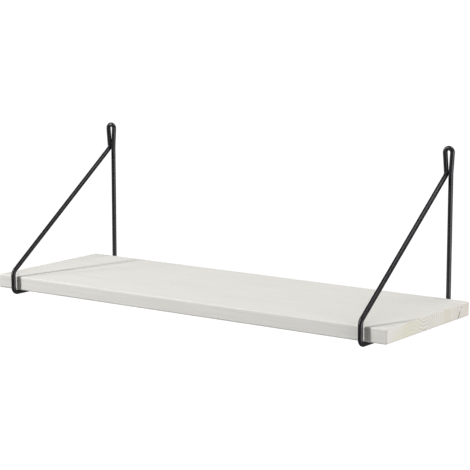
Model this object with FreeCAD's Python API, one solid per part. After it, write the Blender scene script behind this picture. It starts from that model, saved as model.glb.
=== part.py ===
"""Wall shelf: an edge-glued pine board resting in two bent-rod wall brackets.

Millimetres. X runs along the board, +Y points at the wall, +Z is up. The origin is the centre of
the board's top face. Each bracket is one round steel rod: it rises behind the board, turns round a
flat hanging eyelet, comes down as a diagonal to the board's front, drops past the front face and
returns under the board to its own start, where a butt weld closes it.
"""
import FreeCAD, Part
import math
import os

# Driving dimensions
BOARD_LENGTH = 600.0
BOARD_DEPTH = 200.0
BOARD_THICKNESS = 18.0
EDGE_RADIUS = 2.0                       # eased edges all round the board
STAVE_WIDTHS = (37.0, 38.0, 38.0, 40.0, 47.0)   # front to back, they add up to the board's depth

ROD_DIAMETER = 6.0
BRACKET_X = {"left": -268.5, "right": 268.5}
BACK_ROD_Y = 104.0                      # centre line of the upright behind the board
FRONT_ROD_Y = -105.5                    # centre line of the short upright in front of the board
SEAT_GAP = 0.3                          # running clearance between the board and each rod under it

EYELET_TOP_Z = 189.5                    # highest point of the bracket
EYELET_BASE_Z = 154.0                   # corner where the eyelet's leg turns into the diagonal
EYELET_BEND_RADIUS = 5.0                # of the rod's centre line round the top of the eyelet
EYELET_BULGE = 1.6                      # how far the eyelet's wall-side leg swings off the upright
EYELET_LEG_PITCH = 6.2                  # centre to centre of the two legs where they meet
UPRIGHT_TOP_Z = 155.0                   # where the upright starts to swing out into the eyelet
FRONT_CORNER_Z = 6.4                    # corner between the diagonal and the front upright

BASE_BEND_RADIUS = 6.0                  # centre-line radii of the other bends
FRONT_BEND_RADIUS = 9.0
UNDER_FRONT_RADIUS = 7.0
UNDER_BACK_RADIUS = 6.0
SWING_RADIUS = 40.0                     # the soft bend from the upright into the eyelet

WELD_Y = 70.0                           # the butt weld under the board
WELD_ROOT_GAP = 1.0                     # between the rod's two ends, filled with weld metal
WELD_WIDTH = 3.0
WELD_PROUD = 0.2

ROD_RADIUS = ROD_DIAMETER / 2
UNDER_ROD_Z = -BOARD_THICKNESS - SEAT_GAP - ROD_RADIUS


def eyelet_leg(centre_x, centre_z, foot_x, foot_z, side):
    """Where a straight leg from the foot touches the eyelet's top bend; side is +1 or -1 in X."""
    dx, dz = foot_x - centre_x, foot_z - centre_z
    reach = math.hypot(dx, dz)
    towards_foot = math.atan2(dz, dx)
    spread = math.acos(EYELET_BEND_RADIUS / reach)
    angle = towards_foot + side * spread
    return (centre_x + EYELET_BEND_RADIUS * math.cos(angle),
            centre_z + EYELET_BEND_RADIUS * math.sin(angle))


def fillet_corner(before, corner, after, radius):
    """Start, middle and end of the arc that rounds a corner of the rod's centre line."""
    to_before = (before - corner).normalize()
    to_after = (after - corner).normalize()
    half_angle = to_before.getAngle(to_after) / 2
    tangent_length = radius / math.tan(half_angle)
    bisector = (to_before + to_after).normalize()
    centre = corner + bisector * (radius / math.sin(half_angle))
    return (corner + to_before * tangent_length,
            centre - bisector * radius,
            corner + to_after * tangent_length)


def rod_path(x):
    """The rod's centre line as edges, from the weld, round the bracket and back to the weld."""
    def point(dx, y, z):
        return FreeCAD.Vector(x + dx, y, z)

    bend_x = EYELET_BULGE - EYELET_BEND_RADIUS
    bend_z = EYELET_TOP_Z - ROD_RADIUS - EYELET_BEND_RADIUS
    wall_leg = eyelet_leg(bend_x, bend_z, 0.0, UPRIGHT_TOP_Z, 1)
    room_leg = eyelet_leg(bend_x, bend_z, -EYELET_LEG_PITCH, EYELET_BASE_Z, -1)

    first_end = point(0, WELD_Y + WELD_ROOT_GAP / 2, UNDER_ROD_Z)
    last_end = point(0, WELD_Y - WELD_ROOT_GAP / 2, UNDER_ROD_Z)
    corners_up = [(point(0, BACK_ROD_Y, UNDER_ROD_Z), UNDER_BACK_RADIUS),
                  (point(0, BACK_ROD_Y, UPRIGHT_TOP_Z), SWING_RADIUS)]
    bend_start = point(wall_leg[0], BACK_ROD_Y, wall_leg[1])
    bend_top = point(bend_x, BACK_ROD_Y, bend_z + EYELET_BEND_RADIUS)
    bend_end = point(room_leg[0], BACK_ROD_Y, room_leg[1])
    corners_down = [(point(-EYELET_LEG_PITCH, BACK_ROD_Y, EYELET_BASE_Z), BASE_BEND_RADIUS),
                    (point(0, FRONT_ROD_Y, FRONT_CORNER_Z), FRONT_BEND_RADIUS),
                    (point(0, FRONT_ROD_Y, UNDER_ROD_Z), UNDER_FRONT_RADIUS)]

    edges = []
    here = run(edges, first_end, corners_up, bend_start)
    edges.append(Part.Arc(here, bend_top, bend_end).toShape())
    run(edges, bend_end, corners_down, last_end)
    return edges


def run(edges, start, corners, end):
    """Adds straight edges from start to end, with a rounded corner at each corner given."""
    points = [start] + [corner for corner, _ in corners] + [end]
    here = start
    for index, (corner, radius) in enumerate(corners, 1):
        first, middle, last = fillet_corner(points[index - 1], corner, points[index + 1], radius)
        edges.append(Part.LineSegment(here, first).toShape())
        edges.append(Part.Arc(first, middle, last).toShape())
        here = last
    edges.append(Part.LineSegment(here, end).toShape())
    return end


def rod(x):
    """One bracket: the round rod along its whole centre line."""
    path = rod_path(x)
    start = path[0].firstVertex().Point
    profile = Part.Wire([Part.makeCircle(ROD_RADIUS, start, FreeCAD.Vector(0, 1, 0))])
    tube = Part.Wire(path).makePipeShell([profile], True, False)
    length = sum(edge.Length for edge in path)
    expected = math.pi * ROD_RADIUS ** 2 * length
    print(f"rod at x {x}: centre line {length:.1f}, volume {tube.Volume:.0f}, expected {expected:.0f}, "
          f"valid {tube.isValid()}, solids {len(tube.Solids)}")
    return tube


def weld(x, tube):
    """The butt weld that closes the rod: the metal between its two ends and a low bead round them."""
    start = FreeCAD.Vector(x, WELD_Y - WELD_WIDTH / 2, UNDER_ROD_Z)
    bead = Part.makeCylinder(ROD_RADIUS + WELD_PROUD, WELD_WIDTH, start, FreeCAD.Vector(0, 1, 0))
    return bead.cut(tube)


def board():
    """The whole board with its eased edges."""
    corner = FreeCAD.Vector(-BOARD_LENGTH / 2, -BOARD_DEPTH / 2, -BOARD_THICKNESS)
    block = Part.makeBox(BOARD_LENGTH, BOARD_DEPTH, BOARD_THICKNESS, corner)
    return block.makeFillet(EDGE_RADIUS, block.Edges)


def staves(whole):
    """The board's glued staves, front to back."""
    pieces = []
    y = -BOARD_DEPTH / 2
    for width in STAVE_WIDTHS:
        corner = FreeCAD.Vector(-BOARD_LENGTH, y, -BOARD_THICKNESS * 2)
        slab = Part.makeBox(BOARD_LENGTH * 2, width, BOARD_THICKNESS * 3, corner)
        pieces.append(whole.common(slab).Solids[0])
        y += width
    return pieces


def main():
    os.makedirs("parts", exist_ok=True)
    for number, stave in enumerate(staves(board()), 1):
        stave.exportStep(f"parts/board_stave_{number}.step")
    for side, x in BRACKET_X.items():
        tube = rod(x)
        tube.exportStep(f"parts/bracket_rod_{side}.step")
        weld(x, tube).exportStep(f"parts/butt_weld_{side}.step")


main()
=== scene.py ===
"""Looks for the wall shelf: five glazed pine staves and two powder-coated rod brackets.

Metres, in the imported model's frame: X runs along the board, +Y points at the wall, +Z is up. Every
piece takes its place and size from the CAD node that it stands for.
"""
import math

import bmesh
import bpy
from mathutils import Matrix, Vector

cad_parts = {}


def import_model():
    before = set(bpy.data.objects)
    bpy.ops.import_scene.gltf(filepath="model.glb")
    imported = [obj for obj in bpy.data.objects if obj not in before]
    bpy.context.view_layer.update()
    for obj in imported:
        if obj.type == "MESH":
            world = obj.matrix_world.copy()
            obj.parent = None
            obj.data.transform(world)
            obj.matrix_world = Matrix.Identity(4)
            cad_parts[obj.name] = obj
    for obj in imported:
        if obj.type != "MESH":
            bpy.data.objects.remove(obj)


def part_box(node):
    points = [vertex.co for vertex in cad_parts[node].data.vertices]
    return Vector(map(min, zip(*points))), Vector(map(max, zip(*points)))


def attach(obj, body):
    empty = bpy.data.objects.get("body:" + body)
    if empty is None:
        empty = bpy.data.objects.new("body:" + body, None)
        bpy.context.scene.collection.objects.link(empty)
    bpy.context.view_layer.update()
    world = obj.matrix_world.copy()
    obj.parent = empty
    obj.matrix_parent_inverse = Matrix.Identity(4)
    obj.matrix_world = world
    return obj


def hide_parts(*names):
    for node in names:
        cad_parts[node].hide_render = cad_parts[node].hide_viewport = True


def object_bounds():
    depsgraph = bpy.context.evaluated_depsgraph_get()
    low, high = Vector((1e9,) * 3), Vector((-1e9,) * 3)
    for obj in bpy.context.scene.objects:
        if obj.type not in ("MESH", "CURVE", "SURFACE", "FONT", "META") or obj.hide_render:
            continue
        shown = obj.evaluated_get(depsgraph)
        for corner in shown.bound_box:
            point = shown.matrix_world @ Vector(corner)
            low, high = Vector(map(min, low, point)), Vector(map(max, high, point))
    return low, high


MM = 0.001
SAME_FACE = 0.1 * MM                    # two faces nearer than this are the same face
MERGE_DISTANCE = 0.001 * MM             # corners nearer than this become one
LEAST_EDGE = 0.0001 * MM                # shorter edges are closed up
BOARD_SHARP = 40.0                      # edges that turn by more than this, in degrees, are crisp
STEEL_SHARP = 60.0

# Board
EDGE_RADIUS = 2.0 * MM                  # eased edges all round the board
EDGE_STEPS = 6                          # facets in each eased edge
LEAST_RADIUS = 0.02 * MM                # of an edge where it runs into an eased end
GLUE_LINE = 0.12 * MM                   # tiny arris where two staves meet
SECTION_SPACING = 20.0 * MM             # between cross sections along a stave

# Bracket rod, with the same centre line as the CAD; the radii of its bends are of that line
ROD_RADIUS = 3.0 * MM
ROD_SIDES = 40
ARC_STEP = math.radians(5.0)            # between rings round a bend
RING_SPACING = 10.0 * MM                # between rings along a straight
BEND_FLATTENING = 0.035                 # share of the rod's radius that a tight bend squeezes off
TIGHT_BEND = 10.0 * MM                  # bends of a larger radius stay round
LEAST_TURN = 1e-6                       # from ring to ring, below which there is no side to squeeze

EYELET_BEND_RADIUS = 5.0 * MM           # over the eyelet's top
EYELET_BULGE = 1.6 * MM                 # how far that bend swings out past the upright
EYELET_LEG_PITCH = 6.2 * MM             # from the upright across to the corner at the eyelet's base
EYELET_BASE_DROP = 35.5 * MM            # from the bracket's top down to that corner
UPRIGHT_TOP_DROP = 34.5 * MM            # from the bracket's top to the end of the straight upright
FRONT_CORNER_Z = 6.4 * MM               # where the diagonal meets the short upright
SWING_RADIUS = 40.0 * MM                # where the upright leans off into the eyelet
BASE_BEND_RADIUS = 6.0 * MM             # at the eyelet's base
FRONT_BEND_RADIUS = 9.0 * MM            # at the diagonal's foot
UNDER_FRONT_RADIUS = 7.0 * MM           # under the board's front edge
UNDER_BACK_RADIUS = 6.0 * MM            # under its back edge, at the wall

# Weld bead
WELD_ROOT_GAP = 1.0 * MM                # between the rod's two ends, inside the bead
WELD_CROWN = 0.16 * MM                  # height of the bead's middle over the rod
WELD_STEPS = 5                          # rings from the bead's middle to each end
WELD_TOE = 0.98                         # where it meets the rod, as a share of its half length
WELD_SINK = 0.35 * MM                   # how far its ends go into the rod
WELD_RIPPLE = 0.04 * MM
WELD_RIPPLES = 14
WELD_RIPPLE_LAG = 1.6                   # how far each ripple curves back at the bead's ends, in radians
WELD_SIDES = 84

# Camera, round a target near the middle of the model's box; angles in degrees, azimuth from the front
# towards the right
CAMERA_AZIMUTH = 35.580
CAMERA_ELEVATION = 9.130
CAMERA_DISTANCE = 2.1335
CAMERA_AIM_OFFSET = Vector((5.06, 17.69, -16.67)) * MM
CAMERA_LENS = 127.24                    # focal length and sensor width in mm
CAMERA_SENSOR = 36.0
CAMERA_CLIP = (0.05, 500.0)             # the nearest and the furthest that it sees

# Softboxes: place, the point each is turned to, width and height, and watts. The two keys stand in line
# with the shadows that the brackets throw on the board.
SOFTBOXES = {
    "key_low": ((-2.500, -2.700, 1.000), (0.35, -0.10, 0.0), (0.70, 0.90), 66.0),
    "key_high": ((-1.285, -1.351, 1.778), (0.0, 0.0, 0.05), (0.32, 0.32), 36.0),
    "overhead": ((0.75, 1.05, 2.25), (0.0, 0.0, 0.05), (1.80, 1.80), 37.5),
    "fill": ((2.30, -0.08, -0.10), (0.0, 0.0, 0.05), (2.60, 1.60), 40.5),
}
SKY = 0.07                              # strength of the surround from the horizon up
BOUNCE = 0.38                           # and straight below, fading out towards the horizon

FLOOR_Z = -1.20                         # low enough for a view of the shelf from below
FLOOR_HALF = 90.0                       # and wide enough to reach the horizon
FLOOR_GLOW = 0.97                       # strength of its own light
WHITE = (1.0, 1.0, 1.0, 1.0)


# ---------------------------------------------------------------- meshes

def new_object(name, rings):
    """A tube skinned over rings of equal length, with a flat cap on each end."""
    mesh = bpy.data.meshes.new(name)
    bm = bmesh.new()
    loops = [[bm.verts.new(point) for point in ring] for ring in rings]
    for first, second in zip(loops, loops[1:]):
        for i in range(len(first)):
            j = (i + 1) % len(first)
            bm.faces.new((first[i], first[j], second[j], second[i]))
    bm.faces.new(loops[0][::-1])
    bm.faces.new(loops[-1])
    bmesh.ops.remove_doubles(bm, verts=bm.verts, dist=MERGE_DISTANCE)
    bmesh.ops.dissolve_degenerate(bm, edges=bm.edges, dist=LEAST_EDGE)
    bmesh.ops.recalc_face_normals(bm, faces=bm.faces)
    bm.to_mesh(mesh)
    bm.free()
    piece = bpy.data.objects.new(name, mesh)
    bpy.context.scene.collection.objects.link(piece)
    return piece


def smooth(piece, sharp_degrees):
    """Smooth shading that keeps flat faces flat and edges over the given angle crisp."""
    mesh = piece.data
    mesh.polygons.foreach_set("use_smooth", [True] * len(mesh.polygons))
    mesh.set_sharp_from_angle(angle=math.radians(sharp_degrees))
    weighted = piece.modifiers.new("weighted_normals", "WEIGHTED_NORMAL")
    weighted.keep_sharp = True


def spaced(start, end, spacing):
    """Evenly spaced numbers from start to end, both included, about one spacing apart."""
    count = max(1, round(abs(end - start) / spacing))
    return [start + (end - start) * i / count for i in range(count + 1)]


# ---------------------------------------------------------------- board

def stave_corner(y, z, y_out, z_out, radius):
    """An arc round one corner of a stave's section; y_out and z_out are the signs of its two faces."""
    centre_y = y - y_out * radius
    centre_z = z - z_out * radius
    points = []
    for i in range(EDGE_STEPS + 1):
        turn = math.pi / 2 * i / EDGE_STEPS
        points.append((centre_y + y_out * radius * math.cos(turn),
                       centre_z + z_out * radius * math.sin(turn)))
    return points


def stave_section(low, high, inset, eased_front, eased_back):
    """The outline of one stave's cross section, as (y, z) points going round once. Its outer faces are
    set in by inset, which is more than nothing only near the ends of the board."""
    front = low.y + (inset if eased_front else 0.0)
    back = high.y - (inset if eased_back else 0.0)
    bottom = low.z + inset
    top = high.z - inset
    eased = max(EDGE_RADIUS - inset, LEAST_RADIUS)
    front_radius = eased if eased_front else GLUE_LINE
    back_radius = eased if eased_back else GLUE_LINE
    return (stave_corner(back, top, 1, 1, back_radius)
            + stave_corner(front, top, -1, 1, front_radius)[::-1]
            + stave_corner(front, bottom, -1, -1, front_radius)
            + stave_corner(back, bottom, 1, -1, back_radius)[::-1])


def stave(number, board_front, board_back):
    """One stave of the board, in the place of its CAD node."""
    node = f"board_stave_{number}"
    low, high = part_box(node)
    eased_front = abs(low.y - board_front) < SAME_FACE
    eased_back = abs(high.y - board_back) < SAME_FACE
    end_steps = []
    for i in range(EDGE_STEPS):
        turn = math.pi / 2 * i / EDGE_STEPS
        end_steps.append((EDGE_RADIUS * (1 - math.cos(turn)), EDGE_RADIUS * (1 - math.sin(turn))))
    stations = [(low.x + along, inset) for along, inset in end_steps]
    stations += [(x, 0.0) for x in spaced(low.x + EDGE_RADIUS, high.x - EDGE_RADIUS, SECTION_SPACING)]
    stations += [(high.x - along, inset) for along, inset in reversed(end_steps)]
    rings = []
    for x, inset in stations:
        section = stave_section(low, high, inset, eased_front, eased_back)
        rings.append([(x, y, z) for y, z in section])
    piece = new_object(f"stave_{number}", rings)
    smooth(piece, BOARD_SHARP)
    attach(piece, "board")
    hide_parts(node)
    return piece


# ---------------------------------------------------------------- bracket

def straight(start, end):
    """Stations along a straight run, without its last point, each with no bend."""
    count = max(1, round((end - start).length / RING_SPACING))
    return [(start.lerp(end, i / count), 0.0) for i in range(count)]


def bend(centre, start, sweep, axis):
    """Stations round an arc from start, without its last point, each with its curvature."""
    radius = (start - centre).length
    count = max(2, math.ceil(abs(sweep) / ARC_STEP))
    return [(centre + Matrix.Rotation(sweep * i / count, 3, axis) @ (start - centre), 1.0 / radius)
            for i in range(count)]


def rounded_corner(before, corner, after, radius):
    """Where a rounded corner starts and ends, and the stations round it."""
    to_before = (before - corner).normalized()
    to_after = (after - corner).normalized()
    half_angle = to_before.angle(to_after) / 2
    reach = radius / math.tan(half_angle)
    centre = corner + (to_before + to_after).normalized() * (radius / math.sin(half_angle))
    start = corner + to_before * reach
    end = corner + to_after * reach
    axis = (start - centre).cross(end - centre).normalized()
    return start, end, bend(centre, start, math.pi - 2 * half_angle, axis)


def run(start, corners, end):
    """Stations along straight stretches from start to end, with a rounded corner at each (corner,
    radius) given, and without the last point."""
    points = [start] + [corner for corner, _ in corners] + [end]
    stations = []
    here = start
    for index, (corner, radius) in enumerate(corners, 1):
        arc_start, arc_end, arc = rounded_corner(points[index - 1], corner, points[index + 1], radius)
        stations += straight(here, arc_start)
        stations += arc
        here = arc_end
    return stations + straight(here, end)


def leg_tangent(centre, foot, side):
    """Where a straight leg from the foot touches the eyelet's top bend; side is +1 or -1 in X."""
    offset = foot - centre
    angle = math.atan2(offset.z, offset.x) + side * math.acos(EYELET_BEND_RADIUS / offset.length)
    return centre + EYELET_BEND_RADIUS * Vector((math.cos(angle), 0.0, math.sin(angle)))


def rod_stations(low, high, weld):
    """The rod's centre line from the weld's middle, round the bracket and back, as (point, curvature).
    Low and high are the corners of the rod's box."""
    x = weld.x
    back = high.y - ROD_RADIUS
    front = low.y + ROD_RADIUS
    under = low.z + ROD_RADIUS

    upright_top = Vector((x, back, high.z - UPRIGHT_TOP_DROP))
    eyelet_base = Vector((x - EYELET_LEG_PITCH, back, high.z - EYELET_BASE_DROP))
    bend_centre = Vector((x + EYELET_BULGE - EYELET_BEND_RADIUS, back,
                          high.z - ROD_RADIUS - EYELET_BEND_RADIUS))
    wall_leg = leg_tangent(bend_centre, upright_top, 1)
    room_leg = leg_tangent(bend_centre, eyelet_base, -1)
    over_top = 2 * math.pi - (wall_leg - bend_centre).angle(room_leg - bend_centre)

    first_end = Vector((x, weld.y + WELD_ROOT_GAP / 2, under))
    last_end = Vector((x, weld.y - WELD_ROOT_GAP / 2, under))
    stations = run(first_end, [(Vector((x, back, under)), UNDER_BACK_RADIUS),
                               (upright_top, SWING_RADIUS)], wall_leg)
    stations += bend(bend_centre, wall_leg, over_top, Vector((0.0, -1.0, 0.0)))
    stations += run(room_leg, [(eyelet_base, BASE_BEND_RADIUS),
                               (Vector((x, front, FRONT_CORNER_Z)), FRONT_BEND_RADIUS),
                               (Vector((x, front, under)), UNDER_FRONT_RADIUS)], last_end)
    return stations + [(last_end, 0.0)]


def neighbours(items, i):
    """The items after and before item i, or item i itself at an end of the list."""
    return items[min(i + 1, len(items) - 1)], items[max(i - 1, 0)]


def tube_rings(stations):
    """Rings of a round rod along a centre line, turned as little as possible from one to the next."""
    points = [point for point, _ in stations]
    directions = []
    for i in range(len(points)):
        ahead, behind = neighbours(points, i)
        directions.append((ahead - behind).normalized())
    side = Vector((1.0, 0.0, 0.0))
    rings = []
    for i, (point, curvature) in enumerate(stations):
        direction = directions[i]
        side = (side - direction * side.dot(direction)).normalized()
        other = direction.cross(side)
        ahead, behind = neighbours(directions, i)
        bent = ahead - behind
        squeeze = 0.0
        if curvature > 1.0 / TIGHT_BEND and bent.length > LEAST_TURN:
            squeeze = BEND_FLATTENING
            bent.normalize()
        ring = []
        for k in range(ROD_SIDES):
            turn = 2 * math.pi * k / ROD_SIDES
            out = side * math.cos(turn) + other * math.sin(turn)
            reach = ROD_RADIUS * (1.0 - squeeze * out.dot(bent) ** 2)
            ring.append(point + out * reach)
        rings.append(ring)
    return rings


def bracket_piece(name, rings, side, node):
    """A steel piece of one bracket, in the place of its CAD node."""
    piece = new_object(f"{name}_{side}", rings)
    smooth(piece, STEEL_SHARP)
    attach(piece, f"bracket_{side}")
    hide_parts(node)
    return piece


def bracket_rod(side):
    """The one rod of a bracket, bent round from weld to weld."""
    node = f"bracket_rod_{side}"
    low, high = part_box(node)
    weld_low, weld_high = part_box(f"butt_weld_{side}")
    stations = rod_stations(low, high, (weld_low + weld_high) / 2)
    return bracket_piece("rod", tube_rings(stations), side, node)


def weld_bead(side):
    """The rippled bead that closes the rod; its ends sink into the rod."""
    node = f"butt_weld_{side}"
    low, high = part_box(node)
    middle = (low + high) / 2
    half = (high.y - low.y) / 2
    profile = [(-1.0, -WELD_SINK), (-WELD_TOE, 0.0)]
    for t in range(1 - WELD_STEPS, WELD_STEPS):
        profile.append((t / WELD_STEPS, WELD_CROWN * math.cos(math.pi / 2 * t / WELD_STEPS)))
    profile += [(WELD_TOE, 0.0), (1.0, -WELD_SINK)]
    rings = []
    for along, height in profile:
        ring = []
        for k in range(WELD_SIDES):
            turn = 2 * math.pi * k / WELD_SIDES
            lag = WELD_RIPPLE_LAG * along ** 2
            ripple = WELD_RIPPLE * math.sin(WELD_RIPPLES * turn + lag) * (1 - along ** 2)
            reach = ROD_RADIUS + height + ripple
            ring.append((middle.x + reach * math.cos(turn), middle.y + along * half,
                         middle.z + reach * math.sin(turn)))
        rings.append(ring)
    return bracket_piece("weld", rings, side, node)


# ---------------------------------------------------------------- materials

MIX_COLOURS = slice(6, 8)               # the Mix node's two colour inputs
MIX_RESULT = 2                          # and its colour output


class Graph:
    """One material's shader nodes, with short calls that add a node and link what goes into it."""

    def __init__(self, name):
        self.material = bpy.data.materials.new(name)
        self.material.use_nodes = True
        self.tree = self.material.node_tree
        self.shader = self.tree.nodes["Principled BSDF"]

    def add(self, kind, **settings):
        node = self.tree.nodes.new(kind)
        for key, value in settings.items():
            setattr(node, key, value)
        return node

    def feed(self, socket, value):
        """Links an output to a socket, or sets the socket to a plain value."""
        if isinstance(value, bpy.types.NodeSocket):
            self.tree.links.new(value, socket)
        else:
            socket.default_value = value

    def math(self, operation, *values, clamp=False):
        node = self.add("ShaderNodeMath", operation=operation, use_clamp=clamp)
        for socket, value in zip(node.inputs, values):
            self.feed(socket, value)
        return node.outputs[0]

    def step(self, value, start, end, low=0.0, high=1.0):
        """A smooth ramp of value: low up to start, high from end."""
        node = self.add("ShaderNodeMapRange", interpolation_type="SMOOTHSTEP")
        for socket, item in zip(node.inputs, (value, start, end, low, high)):
            self.feed(socket, item)
        return node.outputs[0]

    def mix(self, share, first, second):
        """A colour between first and second."""
        node = self.add("ShaderNodeMix", data_type="RGBA")
        self.feed(node.inputs["Factor"], share)
        for socket, colour in zip(node.inputs[MIX_COLOURS], (first, second)):
            if not isinstance(colour, bpy.types.NodeSocket):
                colour = (*colour, 1.0)
            self.feed(socket, colour)
        return node.outputs[MIX_RESULT]

    def millimetres(self, coordinates):
        """The place in the object's own frame, in mm."""
        scaled = self.add("ShaderNodeVectorMath", operation="SCALE")
        self.feed(scaled.inputs[0], coordinates.outputs["Object"])
        scaled.inputs["Scale"].default_value = 1.0 / MM
        return scaled.outputs[0]

    def parts(self, vector):
        """The X, Y and Z of a vector."""
        node = self.add("ShaderNodeSeparateXYZ")
        self.feed(node.inputs[0], vector)
        return list(node.outputs)

    def stretched(self, place, stretch, shift=(0.0, 0.0, 0.0)):
        """The place scaled by stretch and moved by shift, to feed a noise."""
        node = self.add("ShaderNodeMapping")
        self.feed(node.inputs["Vector"], place)
        node.inputs["Scale"].default_value = stretch
        node.inputs["Location"].default_value = shift
        return node.outputs[0]

    def noise(self, place, detail=2.0, roughness=0.5):
        """Noise from 0 to 1 about 0.5, with one bump to each unit of place."""
        node = self.add("ShaderNodeTexNoise")
        self.feed(node.inputs["Vector"], place)
        node.inputs["Scale"].default_value = 1.0
        node.inputs["Detail"].default_value = detail
        node.inputs["Roughness"].default_value = roughness
        return node.outputs["Fac"]

    def bump(self, height, distance):
        """A normal tilted by the slope of height, which is in shares of the distance."""
        node = self.add("ShaderNodeBump")
        self.feed(node.inputs["Height"], height)
        node.inputs["Distance"].default_value = distance
        node.inputs["Strength"].default_value = 1.0
        return node.outputs[0]


# What differs from stave to stave. Lengths are in mm, and Y and Z are in the model's frame. The pith is
# the log's centre line, ring is the width of a year's growth, bands is how dark the latewood is, and
# shift moves the noise. Within heart of the pith the wood has the heartwood's tint. A check is a drying
# crack out from the pith: its direction, and how far from the pith it starts and has its full width.
STAVES = {
    1: dict(pith=(-62.0, -40.0), ring=4.6, bands=0.22, shift=3.7,
            heart=40.0, tint=(0.755, 0.745, 0.630)),
    2: dict(pith=(-46.0, -46.0), ring=4.4, bands=0.30, shift=11.2,
            heart=62.0, tint=(0.740, 0.722, 0.595)),
    3: dict(pith=(-12.0, 8.0), ring=4.2, bands=0.75, shift=23.9),
    4: dict(pith=(118.0, -9.0), ring=4.8, bands=0.60, shift=37.1,
            heart=86.0, tint=(0.740, 0.695, 0.600)),
    5: dict(pith=(79.0, -5.0), ring=3.4, bands=0.62, shift=51.6,
            heart=24.0, tint=(0.755, 0.715, 0.670), check=((-0.57, -0.82), 2.5, 8.0)),
}

# Colours of the wood and of the glaze on it, and the painted shade inside a crack
SAPWOOD = (0.79, 0.78, 0.735)
LATEWOOD = (0.50, 0.43, 0.32)
PITH = (0.30, 0.23, 0.14)
# painted shade: the near-black that stands for the shade down inside a drying crack's gap
CRACK_SHADE = (0.10, 0.08, 0.05)
GLAZE = (0.830, 0.820, 0.785)
THIN_GLAZE = (0.775, 0.763, 0.722)

# Noise in the wood, as bumps per mm along X, Y and Z: long along the stave and fine across it
SWAY_GRAIN = (0.004, 0.0, 0.0)
LIFT_GRAIN = (0.005, 0.0, 0.0)
WOBBLE_GRAIN = (0.006, 0.09, 0.09)
FIBRE_GRAIN = (0.014, 1.1, 1.1)
STREAK_GRAIN = (0.013, 0.45, 0.45)
BLOTCH_GRAIN = (0.012, 0.05, 0.09)
FIBRE_ROUGHNESS = 0.65

# Growth rings, in mm and in shares of a year's ring
PITH_SWAY = 16.0                        # how far the pith wanders along Y on its way down the log
PITH_LIFT = 12.0                        # and along Z
RING_WOBBLE = 3.2                       # how far a ring strays from a true circle
LATE_RISE = (0.25, 0.80)                # where pale earlywood turns slowly to dark latewood
LATE_FALL = (0.86, 1.0)                 # and where that stops at the winter
HEART_RIM = (-5.0, 3.0)                 # where the tint fades out, from the heart's radius
PITH_RIM = (0.8, 2.4)                   # and the pith's own brown
PITH_SHARE = 0.8
FIBRE_RANGE = (0.35, 0.75)              # fibre noise from pale to dark
FIBRE_SHARE = 0.22

# Which faces a place is on, from its normal
END_FACE = (0.55, 0.95)                 # how far the normal lies along the board
EASED_EDGE = (0.90, 0.995)              # and how far along its nearest axis, below which it is eased

# Glaze: how much of the wood it hides, and where it is thick
COVER_RANGE = (0.25, 0.75)
COVER = (0.86, 0.94)
COVER_LOST_ON_EDGES = 0.10
COVER_LOST_ON_ENDS = 0.60
THICK_FIBRE = 0.4                       # how much the fibres count beside the streaks
THICK_RANGE = (0.50, 0.95)
STREAK_RANGE = (0.2, 0.8)
PINE_ROUGHNESS = (0.60, 0.70)
PINE_SPECULAR = 0.25

# Relief of the grain, in shares of its depth
GRAIN_DEPTH = 0.03 * MM
LATE_HEIGHT = 0.5
FIBRE_HEIGHT = 0.9
CRACK_HEIGHT = 8.0

# A drying check, in mm
CHECK_FROM = (200.0, 220.0)             # along X: only the right-hand end of the board has one
CHECK_WOBBLE = 2.0
CHECK_HALF_WIDTH = 0.75
CHECK_SOFTNESS = 0.25


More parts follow.
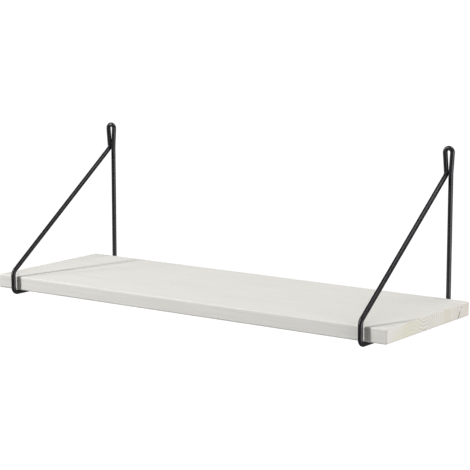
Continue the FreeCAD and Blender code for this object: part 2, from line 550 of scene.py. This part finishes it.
def pine(number):
    """Pine under a thin white glaze, with growth rings that run through the whole stave."""
    look = STAVES[number]
    shift = look["shift"]
    g = Graph(f"glazed_pine_{number}")
    coordinates = g.add("ShaderNodeTexCoord")
    place = g.millimetres(coordinates)
    x, y, z = g.parts(place)
    across = [g.math("ABSOLUTE", part) for part in g.parts(coordinates.outputs["Normal"])]
    end_face = g.step(across[0], *END_FACE)
    squareness = g.math("MAXIMUM", g.math("MAXIMUM", across[0], across[1]), across[2])
    edge = g.step(squareness, *EASED_EDGE, 1.0, 0.0)

    # Growth rings: circles round a pith line that wanders slowly along the log
    sway = g.noise(g.stretched(place, SWAY_GRAIN, (shift, 0.0, 0.0)))
    lift = g.noise(g.stretched(place, LIFT_GRAIN, (0.0, shift, 0.0)))
    pith_y, pith_z = look["pith"]
    off_y = g.math("SUBTRACT", g.math("MULTIPLY_ADD", sway, PITH_SWAY, y), pith_y + PITH_SWAY / 2)
    off_z = g.math("SUBTRACT", g.math("MULTIPLY_ADD", lift, PITH_LIFT, z), pith_z + PITH_LIFT / 2)
    radius = g.math("SQRT", g.math("ADD", g.math("MULTIPLY", off_y, off_y),
                                   g.math("MULTIPLY", off_z, off_z)))
    wobble = g.noise(g.stretched(place, WOBBLE_GRAIN, (shift, shift, 0.0)), detail=3.0)
    bent_radius = g.math("MULTIPLY_ADD", wobble, RING_WOBBLE, radius)
    phase = g.math("FRACT", g.math("DIVIDE", bent_radius, look["ring"]))
    late = g.math("MULTIPLY", g.step(phase, *LATE_RISE), g.step(phase, *LATE_FALL, 1.0, 0.0))

    # Fine fibres along the grain, and slow blotches of thicker and thinner glaze
    fibre = g.noise(g.stretched(place, FIBRE_GRAIN, (0.0, 0.0, shift)), detail=4.0,
                    roughness=FIBRE_ROUGHNESS)
    streak = g.noise(g.stretched(place, STREAK_GRAIN, (0.0, shift, 0.0)), detail=3.0)
    blotch = g.noise(g.stretched(place, BLOTCH_GRAIN, (shift, 0.0, 0.0)), detail=2.0)

    wood = SAPWOOD
    if "heart" in look:
        inner, outer = (look["heart"] + rim for rim in HEART_RIM)
        wood = g.mix(g.step(bent_radius, inner, outer, 1.0, 0.0), SAPWOOD, look["tint"])
    wood = g.mix(g.math("MULTIPLY", late, look["bands"]), wood, LATEWOOD)
    wood = g.mix(g.step(fibre, *FIBRE_RANGE, 0.0, FIBRE_SHARE), wood, LATEWOOD)
    wood = g.mix(g.step(radius, *PITH_RIM, PITH_SHARE, 0.0), wood, PITH)

    # The glaze covers the long faces, is rubbed thinner on the edges and soaks into the end grain
    cover = g.step(blotch, *COVER_RANGE, *COVER)
    cover = g.math("SUBTRACT", cover, g.math("MULTIPLY", edge, COVER_LOST_ON_EDGES))
    cover = g.math("SUBTRACT", cover, g.math("MULTIPLY", end_face, COVER_LOST_ON_ENDS), clamp=True)
    thick = g.step(g.math("MULTIPLY_ADD", fibre, THICK_FIBRE, streak), *THICK_RANGE)
    thick = g.math("SUBTRACT", thick, edge, clamp=True)
    colour = g.mix(cover, wood, g.mix(thick, THIN_GLAZE, GLAZE))
    height = g.math("ADD", g.math("MULTIPLY", late, LATE_HEIGHT),
                    g.math("MULTIPLY", fibre, FIBRE_HEIGHT))
    if "check" in look:
        crack = g.math("MULTIPLY", end_face, drying_check(g, look["check"], off_y, off_z, wobble))
        crack = g.math("MULTIPLY", crack, g.step(x, *CHECK_FROM))
        # painted shade: the crack is darkened in colour as the shade inside its gap, beside its sunken
        # relief
        colour = g.mix(crack, colour, CRACK_SHADE)
        height = g.math("SUBTRACT", height, g.math("MULTIPLY", crack, CRACK_HEIGHT))
    g.feed(g.shader.inputs["Base Color"], colour)
    g.feed(g.shader.inputs["Roughness"], g.step(streak, *STREAK_RANGE, *PINE_ROUGHNESS))
    g.feed(g.shader.inputs["Specular IOR Level"], PINE_SPECULAR)
    g.feed(g.shader.inputs["Normal"], g.bump(height, GRAIN_DEPTH))
    return g.material


def drying_check(g, check, off_y, off_z, wobble):
    """1 inside a narrow crack that runs straight out from the pith and tapers to nothing towards it,
    else 0."""
    (slope_y, slope_z), start, end = check
    out = g.math("ADD", g.math("MULTIPLY", off_y, slope_y), g.math("MULTIPLY", off_z, slope_z))
    side = g.math("SUBTRACT", g.math("MULTIPLY", off_y, slope_z), g.math("MULTIPLY", off_z, slope_y))
    side = g.math("ADD", side, g.math("MULTIPLY_ADD", wobble, CHECK_WOBBLE, -CHECK_WOBBLE / 2))
    half_width = g.step(out, start, end, 0.0, CHECK_HALF_WIDTH)
    inside = g.math("SUBTRACT", half_width, g.math("ABSOLUTE", side))
    return g.step(inside, 0.0, CHECK_SOFTNESS)


# Powder coat: noise in bumps per mm, its two shades, and the depth of its orange peel
PEEL_GRAIN = (1.3, 1.3, 1.3)
WAVE_GRAIN = (0.25, 0.25, 0.25)
SPECK_GRAIN = (5.0, 5.0, 5.0)
COAT_RANGE = (0.3, 0.7)
COAT_SHADES = ((0.008, 0.0065, 0.0095), (0.010, 0.008, 0.012))
COAT_ROUGHNESS = (0.30, 0.38)
COAT_SPECULAR = 0.5
WAVE_HEIGHT = 0.6
PEEL_DEPTH = 0.0018 * MM


def powder_coat():
    """Satin black powder coat with its fine orange peel."""
    g = Graph("black_powder_coat")
    place = g.millimetres(g.add("ShaderNodeTexCoord"))
    peel = g.noise(g.stretched(place, PEEL_GRAIN), detail=1.5)
    waves = g.noise(g.stretched(place, WAVE_GRAIN), detail=1.0)
    specks = g.noise(g.stretched(place, SPECK_GRAIN), detail=1.0)
    g.feed(g.shader.inputs["Base Color"], g.mix(g.step(waves, *COAT_RANGE), *COAT_SHADES))
    g.feed(g.shader.inputs["Roughness"], g.step(specks, *COAT_RANGE, *COAT_ROUGHNESS))
    g.feed(g.shader.inputs["Specular IOR Level"], COAT_SPECULAR)
    height = g.math("ADD", peel, g.math("MULTIPLY", waves, WAVE_HEIGHT))
    g.feed(g.shader.inputs["Normal"], g.bump(height, PEEL_DEPTH))
    return g.material


FLOOR_GRAIN = (3.0, 3.0, 3.0)           # bumps per metre
FLOOR_SHADES = ((0.80, 0.80, 0.80), (0.79, 0.79, 0.79))
FLOOR_ROUGHNESS = 0.9


def pale_floor():
    """A plain matt floor, lit evenly out to the horizon by a glow of its own."""
    g = Graph("pale_floor")
    coordinates = g.add("ShaderNodeTexCoord")
    mottle = g.noise(g.stretched(coordinates.outputs["Object"], FLOOR_GRAIN))
    g.feed(g.shader.inputs["Base Color"], g.mix(mottle, *FLOOR_SHADES))
    g.feed(g.shader.inputs["Roughness"], FLOOR_ROUGHNESS)
    g.feed(g.shader.inputs["Specular IOR Level"], 0.0)
    g.feed(g.shader.inputs["Emission Color"], WHITE)
    g.feed(g.shader.inputs["Emission Strength"], FLOOR_GLOW)
    return g.material


def dress(piece, material):
    """Gives a piece its one material."""
    piece.data.materials.clear()
    piece.data.materials.append(material)


# ---------------------------------------------------------------- studio

def aim(thing, place, target):
    """Puts a lamp or camera at a place and turns it to look at the target."""
    thing.location = place
    thing.rotation_euler = (target - place).to_track_quat("-Z", "Y").to_euler()


def softbox(name, place, target, size, watts):
    """A rectangular lamp that shines evenly over its half of the room."""
    lamp = bpy.data.lights.new(name, "AREA")
    lamp.shape = "RECTANGLE"
    lamp.size, lamp.size_y = size
    lamp.energy = watts
    box = bpy.data.objects.new(name, lamp)
    bpy.context.scene.collection.objects.link(box)
    aim(box, Vector(place), Vector(target))


def surround():
    """A white surround. The lens sees plain white. What lights the shelf is dim from the horizon up,
    and from there down it grows evenly to the bounce of a white studio floor."""
    world = bpy.data.worlds.new("white_surround")
    bpy.context.scene.world = world
    world.use_nodes = True
    tree = world.node_tree
    seen = tree.nodes["Background"]
    seen.inputs["Color"].default_value = WHITE
    seen.inputs["Strength"].default_value = 1.0
    direction = tree.nodes.new("ShaderNodeTexCoord")
    axes = tree.nodes.new("ShaderNodeSeparateXYZ")
    tree.links.new(direction.outputs["Generated"], axes.inputs[0])
    strength = tree.nodes.new("ShaderNodeMapRange")
    tree.links.new(axes.outputs["Z"], strength.inputs["Value"])
    strength.inputs["From Min"].default_value = -1.0
    strength.inputs["From Max"].default_value = 0.0
    strength.inputs["To Min"].default_value = BOUNCE
    strength.inputs["To Max"].default_value = SKY
    lighting = tree.nodes.new("ShaderNodeBackground")
    lighting.inputs["Color"].default_value = WHITE
    tree.links.new(strength.outputs[0], lighting.inputs["Strength"])
    rays = tree.nodes.new("ShaderNodeLightPath")
    choice = tree.nodes.new("ShaderNodeMixShader")
    tree.links.new(rays.outputs["Is Camera Ray"], choice.inputs["Fac"])
    tree.links.new(lighting.outputs[0], choice.inputs[1])
    tree.links.new(seen.outputs[0], choice.inputs[2])
    tree.links.new(choice.outputs[0], tree.nodes["World Output"].inputs["Surface"])


def floor():
    """The floor far below the shelf. Neither the shelf's matt light nor its reflections see it, since
    the surround's bounce stands for it there."""
    mesh = bpy.data.meshes.new("floor")
    signs = ((-1, -1), (1, -1), (1, 1), (-1, 1))
    corners = [(x * FLOOR_HALF, y * FLOOR_HALF, FLOOR_Z) for x, y in signs]
    mesh.from_pydata(corners, [], [(0, 1, 2, 3)])
    plane = bpy.data.objects.new("floor", mesh)
    bpy.context.scene.collection.objects.link(plane)
    dress(plane, pale_floor())
    plane.visible_diffuse = False
    plane.visible_glossy = False


def camera(centre):
    """The camera that the main picture is taken with; centre is the middle of the model's box."""
    lens = bpy.data.cameras.new("camera")
    lens.lens = CAMERA_LENS
    lens.sensor_width = CAMERA_SENSOR
    lens.clip_start, lens.clip_end = CAMERA_CLIP
    view = bpy.data.objects.new("camera", lens)
    bpy.context.scene.collection.objects.link(view)
    azimuth = math.radians(CAMERA_AZIMUTH)
    elevation = math.radians(CAMERA_ELEVATION)
    target = centre + CAMERA_AIM_OFFSET
    back = Vector((math.sin(azimuth) * math.cos(elevation), -math.cos(azimuth) * math.cos(elevation),
                   math.sin(elevation)))
    aim(view, target + back * CAMERA_DISTANCE, target)
    bpy.context.scene.camera = view


def main():
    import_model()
    cad_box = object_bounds()

    board_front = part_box("board_stave_1")[0].y
    board_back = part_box("board_stave_5")[1].y
    for number in STAVES:
        dress(stave(number, board_front, board_back), pine(number))
    coat = powder_coat()
    for side in ("left", "right"):
        dress(bracket_rod(side), coat)
        dress(weld_bead(side), coat)

    surround()
    floor()
    for name, settings in SOFTBOXES.items():
        softbox(name, *settings)
    low, high = (Vector(corner) for corner in cad_box)
    camera((low + high) / 2)
    bpy.context.scene.view_settings.view_transform = "Standard"


main()
